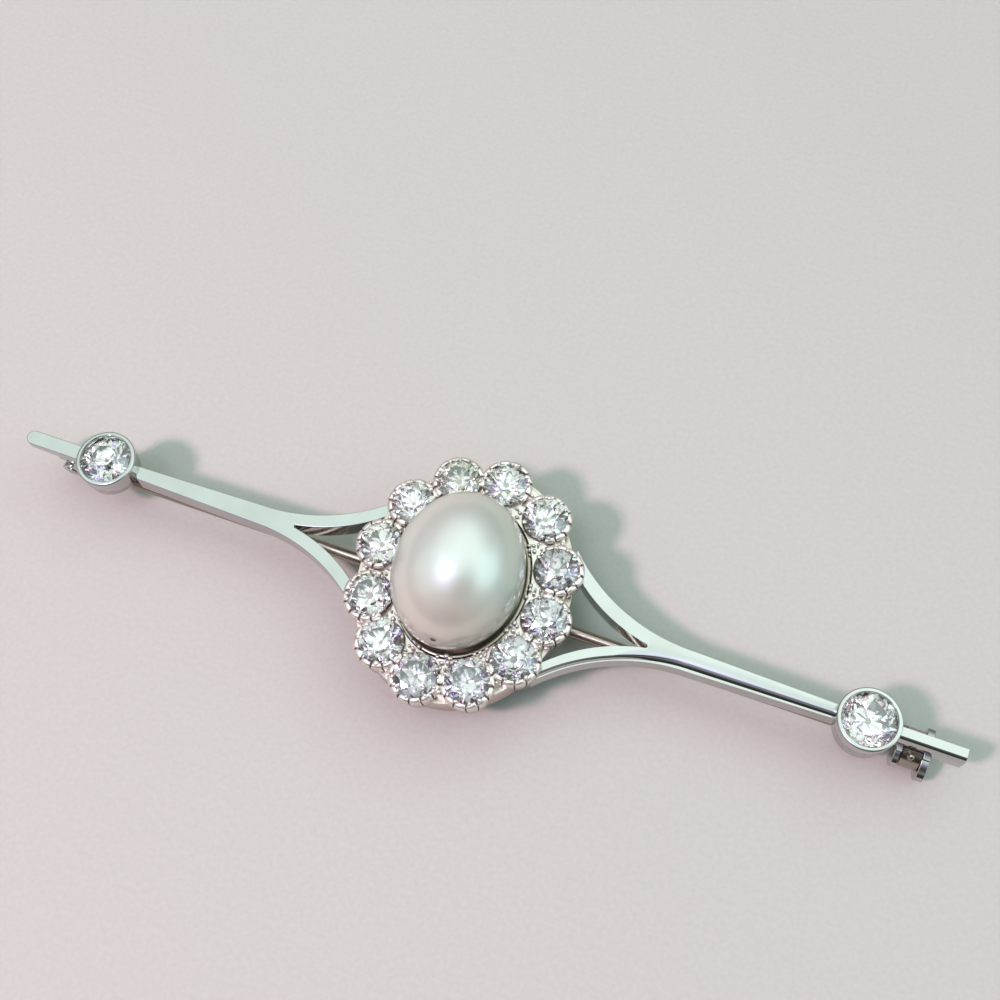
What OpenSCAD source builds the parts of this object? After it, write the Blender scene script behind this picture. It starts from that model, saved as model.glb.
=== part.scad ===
// Bar brooch with an oval pearl cluster, two end diamonds, a riveted pin and a rolling safety catch.
// X runs along the bar, Y across it, Z up. The brooch lies face up on z = 0, with the hinge at -X.

/* [Bar] */
// Length from tail to tail
total_length = 66; // [62:0.5:72]
// Height of the bar's flat top above the surface it lies on
bar_top = 4.1; // [4:0.05:4.4]
// Depth of the bar
bar_depth = 1.6; // [1.5:0.05:1.65]
// Width of the bar beside an end collet
bar_end_width = 0.9; // [0.76:0.02:1.1]
// Width of the bar where it begins to flare into its arms
bar_root_width = 1.36; // [1.26:0.02:1.5]
// Distance from the middle to where the flare begins
flare_start = 15.2; // [15:0.1:15.6]
// Radius of the arms' outer edges
flare_radius = 12.5; // [12.2:0.1:13]
// Radius of the arms' inner edges
arm_inner_radius = 11.6; // [11.4:0.1:12]
// Width of the thin left tail over the hinge
left_tail_width = 0.96; // [0.8:0.02:1.1]
// Width of the right tail over the catch
right_tail_width = 0.92; // [0.7:0.02:1]
// Depth of the left tail at its tip
left_tail_tip_depth = 0.55; // [0.4:0.05:0.9]
// Depth of the left tail beside the collet
left_tail_root_depth = 1; // [0.7:0.05:1.2]

/* [Stones] */
// Diameter of a halo diamond
halo_stone_d = 3.1; // [2.9:0.05:3.1]
// Half the halo's width along the bar, through the stone centres
halo_a = 5.95; // [5.95:0.05:6.2]
// Half the halo's width across the bar, through the stone centres
halo_b = 7.15; // [7.15:0.05:7.5]
// Turn of the halo about its centre
halo_turn = -4.8; // [-8:0.2:0]
// Height of the halo girdles above the bar's top
halo_rise = 1.25; // [1.15:0.05:1.35]
// Outward tilt of each halo diamond
halo_tilt = 2; // [0:0.5:5]
// Diameter of an end diamond
end_stone_d = 3.64; // [3.2:0.04:3.7]
// Distance of an end diamond from the middle
end_stone_x = 26.7; // [26.5:0.1:26.9]

/* [Pearl] */
// Half the pearl's width along the bar
pearl_a = 4.24; // [4:0.02:4.28]
// Half the pearl's width across the bar
pearl_b = 5.26; // [5:0.02:5.3]
// Half the pearl's full depth
pearl_c = 4.3; // [4:0.05:4.4]
// Height of the pearl's widest line above the bar's top
pearl_rise = 2.5; // [2.4:0.05:2.6]
// Turn of the pearl and of its collet
pearl_turn = 4; // [0:0.5:8]

/* [Pin and catch] */
// Height of the pin above the surface
pin_height = 1.6; // [1.55:0.05:1.6]
// Diameter of the pin beside the hinge
pin_d = 0.86; // [0.7:0.02:0.9]
// Diameter of the pin in the catch
pin_tip_d = 0.56; // [0.5:0.02:0.6]
// Distance of the rivet from the middle
hinge_x = 30.15; // [30:0.05:30.3]
// Diameter of the rivet
rivet_d = 0.5; // [0.4:0.02:0.56]
// Diameter of the rolling drum of the catch
drum_d = 2.6; // [2.3:0.05:2.7]
// Diameter of the catch's front flange
flange_d = 3.74; // [3.7:0.02:3.8]
// Width of the slot that the pin passes through
slot_width = 0.96; // [0.9:0.02:1]

/* [Hidden] */

$fn = 64;
// How far a cutting shape runs past what it cuts, and how far joined shapes run into each other
past = 1;
nudge = 0.01;
// Clearances: round a stone, round a turning piece, beside a turning piece
setting_gap = 0.03;
running_gap = 0.04;
side_gap = 0.03;
rivet_gap = 0.02;

// Bar
bar_bottom = bar_top - bar_depth;
half_length = total_length / 2;
// The inner edges of two arms cross the middle line a little, and a short block closes the crotch
arm_start = 14.5;
arm_cross = 0.09;
arm_inner_y = arm_inner_radius - arm_cross;
flare_centre_y = bar_root_width / 2 + flare_radius;
arm_end_x = 6;
crotch_gap = 0.16;
crotch_length = 1;
crotch_x = arm_start - sqrt(pow(arm_inner_radius, 2) - pow(arm_inner_y - crotch_gap / 2, 2));
tail_start = end_stone_x + 0.7;

// Halo. Its centre is a little off the bar's middle, and each stone sits some degrees off its even place.
stone_count = 12;
stone_shift = [-3, -2.5, -0.5, 2, 0.5, 0, 1, 3, 1.5, 0, -0.5, -1.5];
head_x = -0.24;
head_base = bar_top - 1.5;
head_reach = halo_b + halo_stone_d;
halo_z = bar_top + halo_rise;
// Evens out the spacing of the stones along the oval
oval_bias = 90 / PI * (halo_b - halo_a) / (halo_b + halo_a);
collet_foot_r = halo_stone_d / 2 - 0.13;
collet_top_r = halo_stone_d / 2 + 0.18;
collet_below = 3.2;
// Oval plate that joins the collets to each other and to the cup
gallery_reach = 1.05;
gallery_top = bar_top + 0.65;
gallery_sides = 72;
collet_above = 0.12;
back_hole_r = 0.75;
back_hole_depth = 4;
claw_r = 0.19;
claw_below = 1;
claw_above = 0.35;
claw_angles = [-42, 42];

// End collets
end_collet_top_r = end_stone_d / 2 + 0.24;
end_collet_foot_r = end_collet_top_r - 0.12;
end_collet_top = bar_top + 0.7;
end_collet_bottom = [bar_top - 1.2, bar_top - 1.75];
end_girdle_z = bar_top + 0.4;
end_back_hole_r = 1.05;
end_back_hole_depth = 3;

// Cut of a diamond, as parts of its diameter
table_part = 0.26;
star_part = 0.385;
culet_part = 0.035;
lower_part = 0.19;
crown_part = 0.17;
girdle_part = 0.03;
pavilion_part = 0.43;
// Half the angle between two main facets
half_facet = 22.5;
// Slope of the conical seat, and how far below the ledge the open back ends
seat_slope = 0.95;
seat_lip = 0.3;

// Pearl and its cup
cup_x = head_x - 0.18;
cup_y = 0.1;
cup_outer_a = 4.4;
cup_outer_b = 5.5;
cup_wall = 0.28;
cup_rim = bar_top + 0.9;
cup_floor = bar_top - 0.1;
cup_floor_thickness = 0.5;
cup_back_wall = 0.68;
cup_sides = 48;
pearl_x = head_x - 0.26;
pearl_y = 0;
pearl_z = bar_top + pearl_rise;
pearl_room = 0.06;
pearl_sides = 36;
pearl_rings = 15;

// Hinge
cheek_thickness = 0.37;
cheek_y = 0.515;
cheek_inner_y = cheek_y - cheek_thickness / 2;
cheek_outer_y = cheek_y + cheek_thickness / 2;
lobe_r = 0.7;
eye_r = 0.62;
foot_left = -28.7;
foot_right = -27.2;
foot_chamfer = 0.2;
foot_rise = 0.4;
plate_bottom = bar_top - 1.5;
plate_thickness = 0.75;
plate_overlap = 0.3;
tongue_start = -29.8;
tongue_end = -26.9;
rivet_head_r = rivet_d / 2 + 0.12;
rivet_head_h = 0.12;

// Catch, with each span running along X
front_flange = [30.7, 31.2];
back_flange = [29, 29.4];
back_flange_r = 1.5;
shoulder_half_width = 0.75;
shoulder_z = [bar_bottom - 0.1, bar_bottom + 0.25];
drum = [29.45, 30.65];
drum_gap = 0.06;
journal = [28.97, 31.27];
journal_r = 0.8;
barrel_bore_r = 0.52;
catch_span = [journal[0] - past, journal[1] + past];
taper_end = 28;
point_start = 30;
pin_tip_x = 31.15;
point_r = 0.06;
knob_x = 29.95;
knob_angle = 35;
knob_r = 0.26;
knob_reach = drum_d / 2 + 0.2;

// Parameter angle of stone k on the oval through the stone centres
function stone_angle(k) =
    let (even = 360 * k / stone_count + halo_turn + stone_shift[k])
    even - oval_bias * sin(2 * even);
function stone_place(k) =
    [head_x + halo_a * cos(stone_angle(k)), halo_b * sin(stone_angle(k)), halo_z];
function stone_heading(k) =
    atan2(halo_a * sin(stone_angle(k)), halo_b * cos(stone_angle(k)));

// Points evenly round a circle and round an oval
function circle_points(n, r, z, start = 0) =
    [for (i = [0 : n - 1]) [r * cos(start + 360 * i / n), r * sin(start + 360 * i / n), z]];
function oval_points(a, b, n) =
    [for (i = [0 : n - 1]) [a * cos(360 * i / n), b * sin(360 * i / n)]];

module at_stone(k) {
    translate(stone_place(k))
        rotate([0, 0, stone_heading(k)])
            rotate([0, halo_tilt, 0])
                children();
}

module for_halo() {
    for (k = [0 : stone_count - 1]) at_stone(k) children();
}

module for_ends() {
    for (side = [-1, 1]) translate([side * end_stone_x, 0, end_girdle_z]) children();
}

// A cylinder along X at the pin's height, over a span of X
module along_x(span, r) {
    translate([span[0], 0, pin_height]) rotate([0, 90, 0]) cylinder(h = span[1] - span[0], r = r);
}

// A cylinder across the bar, centred on the rivet
module across_y(half_span, r) {
    translate([-hinge_x, 0, pin_height]) rotate([90, 0, 0])
        cylinder(h = 2 * half_span, r = r, center = true);
}

// An outline drawn in X and Z, given a width across the bar about a place y
module side_plate(y, width) {
    translate([0, y + width / 2, 0]) rotate([90, 0, 0]) linear_extrude(width) children();
}

// Old-cut brilliant with its girdle at z = 0: table, stars, kites, upper and lower facets and an open culet
module diamond(d) {
    table_r = table_part * d;
    star_r = star_part * d;
    girdle_r = d / 2;
    lower_r = lower_part * d;
    culet_r = culet_part * d;
    half_girdle = girdle_part * d / 2;
    crown_slope = crown_part * d / (girdle_r - table_r);
    pavilion_slope = pavilion_part * d / (girdle_r - culet_r * cos(half_facet));
    star_z = half_girdle + crown_slope * (girdle_r - star_r * cos(half_facet));
    lower_z = -half_girdle - pavilion_slope * (girdle_r - lower_r * cos(half_facet));
    points = concat(
        circle_points(8, table_r, half_girdle + crown_part * d),
        circle_points(8, star_r, star_z, half_facet),
        circle_points(16, girdle_r, half_girdle),
        circle_points(16, girdle_r, -half_girdle),
        circle_points(8, lower_r, lower_z, half_facet),
        circle_points(8, culet_r, -half_girdle - pavilion_part * d, half_facet)
    );
    // First point of each ring
    table = 0;
    star = 8;
    upper = 16;
    lower = 32;
    belly = 48;
    culet = 56;
    faces = concat(
        [[for (i = [7 : -1 : 0]) table + i]],
        [for (i = [0 : 7]) [table + i, table + (i + 1) % 8, star + i]],
        [for (i = [0 : 7]) [table + i, star + i, upper + 2 * i]],
        [for (i = [0 : 7]) [table + i, upper + 2 * i, star + (i + 7) % 8]],
        [for (i = [0 : 7]) [star + i, upper + 2 * i + 1, upper + 2 * i]],
        [for (i = [0 : 7]) [star + i, upper + (2 * i + 2) % 16, upper + 2 * i + 1]],
        [for (i = [0 : 15]) [upper + i, upper + (i + 1) % 16, lower + (i + 1) % 16, lower + i]],
        [for (i = [0 : 7]) [belly + i, lower + 2 * i, lower + 2 * i + 1]],
        [for (i = [0 : 7]) [belly + i, lower + 2 * i + 1, lower + (2 * i + 2) % 16]],
        [for (i = [0 : 7]) [culet + i, lower + 2 * i, belly + i]],
        [for (i = [0 : 7]) [culet + (i + 7) % 8, belly + (i + 7) % 8, lower + 2 * i]],
        [for (i = [0 : 7]) [culet + i, culet + (i + 7) % 8, lower + 2 * i]],
        [[for (i = [0 : 7]) culet + i]]
    );
    polyhedron(points, faces);
}

// What is cut from the metal for a diamond: its recess, its conical seat and the open back
module seat(d, back_r, back_depth) {
    rim_r = d / 2 + setting_gap;
    ledge = girdle_part * d / 2 + setting_gap;
    cone_h = seat_slope * (rim_r - back_r / 2);
    translate([0, 0, -ledge]) cylinder(h = ledge + d / 2, r = rim_r);
    translate([0, 0, -ledge - cone_h]) cylinder(h = cone_h + nudge, r1 = back_r / 2, r2 = rim_r);
    translate([0, 0, -back_depth]) cylinder(h = back_depth - ledge - seat_lip, r = back_r);
}

// One arm of a fork, in the +X +Y quarter, between the curves of its two edges
module arm() {
    difference() {
        intersection() {
            translate([arm_start, arm_inner_y]) circle(r = arm_inner_radius, $fn = 360);
            translate([arm_end_x, 0]) square([flare_start - arm_end_x, arm_inner_y]);
        }
        translate([flare_start, flare_centre_y]) circle(r = flare_radius, $fn = 360);
    }
}

// Flat outline of the bar from its fork to the end collet, on the +X side
module half_bar() {
    arm();
    mirror([0, 1]) arm();
    translate([crotch_x, -crotch_gap]) square([crotch_length, 2 * crotch_gap]);
    polygon([
        [flare_start - nudge, -bar_root_width / 2], [end_stone_x, -bar_end_width / 2],
        [end_stone_x, bar_end_width / 2], [flare_start - nudge, bar_root_width / 2]
    ]);
}

// Both forks, and the right tail at the bar's full depth
module bar() {
    translate([0, 0, bar_bottom]) linear_extrude(bar_depth) half_bar();
    translate([0, 0, bar_bottom]) linear_extrude(bar_depth) mirror([1, 0]) half_bar();
    translate([end_stone_x, -right_tail_width / 2, bar_bottom])
        cube([half_length - end_stone_x, right_tail_width, bar_depth]);
}

// The left tail is wider, round at its tip and thinner towards it
module left_tail() {
    tip_r = left_tail_width / 2;
    intersection() {
        translate([tip_r - half_length, 0, bar_bottom]) linear_extrude(bar_depth) {
            translate([0, -tip_r]) square([half_length - tip_r - tail_start, left_tail_width]);
            circle(r = tip_r);
        }
        side_plate(0, left_tail_width + past) polygon([
            [-half_length - past, bar_top], [-half_length - past, bar_top - left_tail_tip_depth],
            [-half_length, bar_top - left_tail_tip_depth], [-tail_start, bar_top - left_tail_root_depth],
            [-tail_start, bar_top]
        ]);
    }
}

// The left collet ends above the hinge, the right one reaches lower
module end_collets() {
    for (i = [0, 1]) translate([(2 * i - 1) * end_stone_x, 0, end_collet_bottom[i]])
        cylinder(h = end_collet_top - end_collet_bottom[i], r1 = end_collet_foot_r, r2 = end_collet_top_r);
}

// Twelve tapered collets cut level at the base, with two claws on the outside of each
module halo_collets() {
    difference() {
        for_halo() {
            translate([0, 0, -collet_below])
                cylinder(h = collet_below + collet_above, r1 = collet_foot_r, r2 = collet_top_r);
            for (turn = claw_angles) rotate([0, 0, turn])
                translate([halo_stone_d / 2 + claw_r + setting_gap, 0, -claw_below])
                    cylinder(h = claw_below + claw_above, r = claw_r);
        }
        translate([-head_reach, -head_reach, head_base - collet_below])
            cube([2 * head_reach, 2 * head_reach, collet_below]);
    }
}

module gallery_plate() {
    translate([head_x, 0, head_base]) linear_extrude(gallery_top - head_base)
        polygon(oval_points(halo_a + gallery_reach, halo_b + gallery_reach, gallery_sides));
}

module cup_oval(a, b) {
    translate([cup_x, cup_y]) rotate(pearl_turn) polygon(oval_points(a, b, cup_sides));
}

module pearl_cup() {
    translate([0, 0, head_base]) linear_extrude(cup_rim - head_base) cup_oval(cup_outer_a, cup_outer_b);
}

// The cup's inside, the head's open back and the room beside the pearl
module cup_hollow() {
    translate([0, 0, cup_floor])
        linear_extrude(cup_rim - cup_floor + past) cup_oval(cup_outer_a - cup_wall, cup_outer_b - cup_wall);
    translate([0, 0, head_base - past]) linear_extrude(cup_floor - cup_floor_thickness - head_base + past)
        cup_oval(cup_outer_a - cup_back_wall, cup_outer_b - cup_back_wall);
    translate([pearl_x, pearl_y, cup_rim]) linear_extrude(pearl_rise) rotate(pearl_turn)
        polygon(oval_points(pearl_a + pearl_room, pearl_b + pearl_room, 2 * pearl_sides));
}

// Side outline of a hinge cheek: a round lobe at the rivet and a flat foot under the collet
module cheek_outline() {
    translate([-hinge_x, pin_height]) circle(r = lobe_r);
    polygon([
        [-hinge_x - lobe_r, plate_bottom + plate_overlap], [-hinge_x - lobe_r, pin_height],
        [-hinge_x, pin_height - lobe_r], [foot_left - foot_chamfer, pin_height - lobe_r],
        [foot_left, foot_rise], [foot_left + foot_chamfer, 0],
        [foot_right - foot_chamfer, 0], [foot_right, foot_rise],
        [foot_right, plate_bottom + plate_overlap]
    ]);
}

module hinge_bracket() {
    for (side = [-1, 1]) side_plate(side * cheek_y, cheek_thickness) cheek_outline();
    translate([-hinge_x - lobe_r, -cheek_outer_y, plate_bottom])
        cube([hinge_x + lobe_r + foot_right, 2 * cheek_outer_y, plate_thickness]);
}

// Round catch flanges, flat where they meet the bar and where the front one stands on the surface.
// A low shoulder of solder holds each to the bar's sides.
module catch_flanges() {
    intersection() {
        union() {
            along_x(front_flange, flange_d / 2);
            along_x(back_flange, back_flange_r);
        }
        translate([back_flange[0] - past, -flange_d, 0])
            cube([front_flange[1] - back_flange[0] + 2 * past, 2 * flange_d, bar_bottom]);
    }
    for (flange = [front_flange, back_flange])
        translate([flange[0], -shoulder_half_width, shoulder_z[0]])
            cube([flange[1] - flange[0], 2 * shoulder_half_width, shoulder_z[1] - shoulder_z[0]]);
}

// The slot that the pin swings through, open at the bottom
module pin_slot() {
    translate([catch_span[0], -slot_width / 2, -past])
        cube([catch_span[1] - catch_span[0], slot_width, pin_height + past]);
}

// Room for the drum, its journals and the pin
module catch_hollow() {
    along_x([drum[0] - side_gap, drum[1] + side_gap], drum_d / 2 + drum_gap);
    along_x(catch_span, journal_r + running_gap);
    pin_slot();
}

module mount() {
    color("gainsboro") difference() {
        union() {
            bar();
            left_tail();
            end_collets();
            halo_collets();
            gallery_plate();
            pearl_cup();
            hinge_bracket();
            catch_flanges();
        }
        for_halo() seat(halo_stone_d, back_hole_r, back_hole_depth);
        for_ends() seat(end_stone_d, end_back_hole_r, end_back_hole_depth);
        cup_hollow();
        catch_hollow();
        across_y(cheek_outer_y + past, rivet_d / 2 + rivet_gap);
    }
}

// Oval pearl with a flat underside
module pearl() {
    flat_z = cup_floor + setting_gap;
    low = asin((flat_z - pearl_z) / pearl_c);
    step = (90 - low) / pearl_rings;
    points = concat(
        [for (j = [0 : pearl_rings - 1]) for (i = [0 : pearl_sides - 1])
            let (rise = low + j * step, turn = 360 * i / pearl_sides)
            [pearl_a * cos(rise) * cos(turn), pearl_b * cos(rise) * sin(turn), pearl_c * sin(rise)]],
        [[0, 0, pearl_c]]
    );
    top = pearl_rings * pearl_sides;
    faces = concat(
        [[for (i = [0 : pearl_sides - 1]) i]],
        [for (j = [0 : pearl_rings - 2]) for (i = [0 : pearl_sides - 1])
            let (next = (i + 1) % pearl_sides, base = j * pearl_sides, over = base + pearl_sides)
            [base + i, over + i, over + next, base + next]],
        [for (i = [0 : pearl_sides - 1])
            [top - pearl_sides + i, top, top - pearl_sides + (i + 1) % pearl_sides]]
    );
    color("ivory") translate([pearl_x, pearl_y, pearl_z]) rotate([0, 0, pearl_turn])
        polyhedron(points, faces);
}

module halo_diamond(k) {
    color("aliceblue") at_stone(k) diamond(halo_stone_d);
}

module end_diamond(side) {
    color("aliceblue") translate([side * end_stone_x, 0, end_girdle_z]) diamond(end_stone_d);
}

// The pin's round shaft, tapered and pointed, turned from one outline
module pin_shaft() {
    translate([0, 0, pin_height]) rotate([0, 90, 0]) rotate_extrude() polygon([
        [0, tongue_start], [pin_d / 2, tongue_start], [pin_d / 2, tongue_end],
        [pin_tip_d / 2, taper_end], [pin_tip_d / 2, point_start],
        [point_r, pin_tip_x], [0, pin_tip_x]
    ]);
}

// Pin with a flattened eye that turns on the rivet
module pin_stem() {
    eye_half_width = cheek_inner_y - side_gap;
    color("silver") difference() {
        union() {
            across_y(eye_half_width, eye_r);
            pin_shaft();
        }
        for (side = [-1, 1])
            translate([tongue_start - past, side > 0 ? eye_half_width : -eye_half_width - past, 0])
                cube([tongue_end - tongue_start + past, past, 2 * pin_height]);
        across_y(cheek_inner_y, rivet_d / 2 + running_gap);
    }
}

module hinge_rivet() {
    head_y = cheek_outer_y + rivet_gap + rivet_head_h / 2;
    color("silver") {
        across_y(head_y, rivet_d / 2);
        for (side = [-1, 1]) translate([-hinge_x, side * head_y, pin_height])
            rotate([90, 0, 0]) cylinder(h = rivet_head_h, r = rivet_head_r, center = true);
    }
}

// Slotted drum that rolls shut round the pin; at rest its slot points down and the pin can swing out
module catch_barrel() {
    color("silver") difference() {
        union() {
            along_x(drum, drum_d / 2);
            along_x(journal, journal_r);
            translate([knob_x, -knob_reach * sin(knob_angle), pin_height + knob_reach * cos(knob_angle)])
                sphere(r = knob_r);
        }
        along_x(catch_span, barrel_bore_r);
        pin_slot();
    }
}

mount();
pearl();
halo_diamond(0);  // halo_diamond_01
halo_diamond(1);  // halo_diamond_02
halo_diamond(2);  // halo_diamond_03
halo_diamond(3);  // halo_diamond_04
halo_diamond(4);  // halo_diamond_05
halo_diamond(5);  // halo_diamond_06
halo_diamond(6);  // halo_diamond_07
halo_diamond(7);  // halo_diamond_08
halo_diamond(8);  // halo_diamond_09
halo_diamond(9);  // halo_diamond_10
halo_diamond(10);  // halo_diamond_11
halo_diamond(11);  // halo_diamond_12
end_diamond(-1);  // end_diamond_left
end_diamond(1);  // end_diamond_right
pin_stem();
hinge_rivet();
catch_barrel();
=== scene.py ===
import random
from math import asin, atan2, cos, degrees, inf, pi, radians, sin

import bmesh
import bpy
from mathutils import Euler, Matrix, Vector


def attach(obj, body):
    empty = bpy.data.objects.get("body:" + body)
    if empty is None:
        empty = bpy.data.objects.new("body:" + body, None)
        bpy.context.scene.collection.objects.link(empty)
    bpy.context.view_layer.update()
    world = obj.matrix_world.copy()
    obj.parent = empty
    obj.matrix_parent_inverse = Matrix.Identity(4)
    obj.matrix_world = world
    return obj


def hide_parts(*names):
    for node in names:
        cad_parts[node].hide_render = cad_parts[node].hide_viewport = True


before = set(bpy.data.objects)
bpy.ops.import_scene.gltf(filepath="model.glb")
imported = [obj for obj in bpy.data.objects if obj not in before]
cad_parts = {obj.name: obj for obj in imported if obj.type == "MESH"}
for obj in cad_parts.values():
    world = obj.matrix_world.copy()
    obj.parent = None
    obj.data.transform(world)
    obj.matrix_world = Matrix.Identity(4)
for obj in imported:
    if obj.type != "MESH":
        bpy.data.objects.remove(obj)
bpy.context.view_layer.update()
scene = bpy.context.scene
mm = 0.001   # the pieces are drawn in mm and go into the scene in metres


# Small helpers for nodes and colours

def addNode(tree, kind, props=None, values=None, links=None):
    node = tree.nodes.new(kind)
    for name, value in (props or {}).items():
        setattr(node, name, value)
    for socket, value in (values or {}).items():
        node.inputs[socket].default_value = value
    for socket, source in (links or {}).items():
        tree.links.new(source, node.inputs[socket])
    return node


def calculate(tree, operation, *terms):
    # a Math node, each term a number or a socket
    numbers = {i: term for i, term in enumerate(terms) if isinstance(term, (int, float))}
    sockets = {i: term for i, term in enumerate(terms) if i not in numbers}
    return addNode(tree, "ShaderNodeMath", {"operation": operation}, numbers, sockets).outputs["Value"]


def colour(hexCode):
    # sRGB hex to the linear colour that the sockets want
    shares = [int(hexCode[i:i + 2], 16) / 255 for i in (1, 3, 5)]
    linear = [s / 12.92 if s <= 0.04045 else ((s + 0.055) / 1.055) ** 2.4 for s in shares]
    return (*linear, 1.0)


def newMaterial(name):
    material = bpy.data.materials.new(name)
    material.use_nodes = True
    tree = material.node_tree
    tree.nodes.clear()
    coords = addNode(tree, "ShaderNodeTexCoord").outputs["Object"]
    # object coordinates turned from metres to millimetres, so a noise scale is a count per mm
    perMm = addNode(tree, "ShaderNodeMapping", values={"Scale": (1 / mm,) * 3}, links={"Vector": coords})
    return material, tree, perMm.outputs["Vector"]


def finishMaterial(material, tree, values, links):
    shader = addNode(tree, "ShaderNodeBsdfPrincipled", values=values, links=links)
    addNode(tree, "ShaderNodeOutputMaterial", links={"Surface": shader.outputs["BSDF"]})
    return material


def noise(tree, vector, grain):
    # grain is the scale per mm, the detail and the roughness
    values = dict(zip(("Scale", "Detail", "Roughness"), grain))
    return addNode(tree, "ShaderNodeTexNoise", values=values, links={"Vector": vector}).outputs["Fac"]


def ramp(tree, factor, stops):
    node = addNode(tree, "ShaderNodeValToRGB", links={"Fac": factor})
    for extra in stops[2:]:
        node.color_ramp.elements.new(extra[0])
    for element, (position, hexCode) in zip(node.color_ramp.elements, stops):
        element.position = position
        element.color = colour(hexCode)
    return node.outputs["Color"]


def remap(tree, value, given, wanted):
    # carries a value from one range to another and clamps it there
    values = dict(zip(("From Min", "From Max", "To Min", "To Max"), given + wanted))
    return addNode(tree, "ShaderNodeMapRange", values=values, links={"Value": value}).outputs["Result"]


def tinted(tree, amount, first, hexCode, **how):
    # the first colour, turned towards the second one by the amount, or blended as how says
    return addNode(tree, "ShaderNodeMix", {"data_type": "RGBA", **how}, {"B": colour(hexCode)},
                   {"Factor": amount, "A": first}).outputs["Result"]


def bumpFrom(tree, height, bump):
    # bump is the strength and the depth in metres
    return addNode(tree, "ShaderNodeBump", values={"Strength": bump[0], "Distance": bump[1]},
                   links={"Height": height}).outputs["Normal"]


# Small helpers for meshes, all in mm

def inScene(name, data):
    thing = bpy.data.objects.new(name, data)
    scene.collection.objects.link(thing)
    return thing


def settle(piece, body, nodes):
    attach(piece, body)
    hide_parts(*nodes)


def meshFrom(name, bm, sharpAngle):
    # a sharpAngle of None leaves every facet flat
    bmesh.ops.recalc_face_normals(bm, faces=bm.faces)
    mesh = bpy.data.meshes.new(name)
    bm.to_mesh(mesh)
    bm.free()
    if sharpAngle is not None:
        mesh.shade_smooth()
        mesh.set_sharp_from_angle(angle=radians(sharpAngle))
    return mesh


def makePiece(name, bm, material, body, slotName, nodes, sharpAngle=32, edgeRound=0.0):
    mesh = meshFrom(name, bm, sharpAngle)
    mesh.transform(Matrix.Scale(mm, 4))
    mesh.materials.append(material)
    piece = inScene(name, mesh)
    if edgeRound:
        bevel = piece.modifiers.new("softEdges", "BEVEL")
        bevel.width = edgeRound * mm
        bevel.segments = 3
        bevel.limit_method = "ANGLE"
        bevel.angle_limit = radians(35)
        bevel.harden_normals = True
    settle(piece, body, nodes)


def makeMount(name, bm, material, **finish):
    # one of the pieces that dress the soldered body
    makePiece(name, bm, material, "brooch", "white_metal", ["mount"], **finish)


def placed(bm, matrix):
    bmesh.ops.transform(bm, matrix=matrix, verts=bm.verts)
    return bm


def joinInto(target, source):
    # adds one bmesh to another
    mesh = bpy.data.meshes.new("joinBuffer")
    source.to_mesh(mesh)
    source.free()
    target.from_mesh(mesh)
    bpy.data.meshes.remove(mesh)
    return target


def skin(bm, rings, closed=False):
    # faces between neighbouring rings; a ring of one point is a pole
    pairs = list(zip(rings, rings[1:]))
    if closed:
        pairs.append((rings[-1], rings[0]))
    for low, high in pairs:
        for i in range(max(len(low), len(high))):
            j = i + 1
            corners = [low[i % len(low)], low[j % len(low)], high[j % len(high)], high[i % len(high)]]
            bm.faces.new(list(dict.fromkeys(corners)))
    return bm


def lathe(profile, sides, closed=False):
    # turns (radius, height) points round Z; a radius of 0 is a pole, and a closed profile makes a ring
    bm = bmesh.new()
    turns = [2 * pi * i / sides for i in range(sides)]
    rings = [[bm.verts.new((radius * cos(t), radius * sin(t), height))
              for t in (turns if radius else turns[:1])] for radius, height in profile]
    return skin(bm, rings, closed)


def loft(outlines):
    # joins (height, outline) levels of equal point counts and closes both ends
    bm = bmesh.new()
    rings = [[bm.verts.new((x, y, height)) for x, y in outline] for height, outline in outlines]
    bm.faces.new(rings[0])
    bm.faces.new(rings[-1][::-1])
    return skin(bm, rings)


def plate(outline, low, high):
    # gives a flat outline in X and Y its thickness between two heights
    bm = bmesh.new()
    face = bm.faces.new([bm.verts.new((x, y, low)) for x, y in outline])
    raised = bmesh.ops.extrude_face_region(bm, geom=[face])
    verts = [v for v in raised["geom"] if isinstance(v, bmesh.types.BMVert)]
    bmesh.ops.translate(bm, vec=(0, 0, high - low), verts=verts)
    return bm


def box(x0, x1, y0, y1):
    return [(x0, y0), (x1, y0), (x1, y1), (x0, y1)]


def sweepLoop(path, profile):
    # carries a closed section of (outwards, up) points round a closed path of (place, outwards) pairs
    bm = bmesh.new()
    rings = [[bm.verts.new(place + outwards * u + Vector((0, 0, v))) for u, v in profile]
             for place, outwards in path]
    return skin(bm, rings, closed=True)


def arc(centre, radius, start, end, count):
    # points on an arc, angles in degrees
    turns = [radians(start + (end - start) * i / (count - 1)) for i in range(count)]
    return [(centre[0] + radius * cos(t), centre[1] + radius * sin(t)) for t in turns]


def share(value, start, end):
    # how far a value has come from start to end, from 0 to 1
    return min(1.0, max(0.0, (value - start) / (end - start)))


# Finishes: a noise is given as scale per mm, detail, roughness, and a bump as strength, depth

usualNoise = (0.3, 0.7)   # nearly all of a noise lies in this range

buffed = {
    "cloud": (0.35, 2.0, 0.55), "tints": ((0.3, "#c6c7c4"), (0.7, "#bfbfbb")),
    "swirl": (7.0, 5.0, 0.65), "gloss": (0.05, 0.12),
    "wave": (0.9, 2.0, 0.55), "waveBump": (0.12, 0.02 * mm),
}


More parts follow.
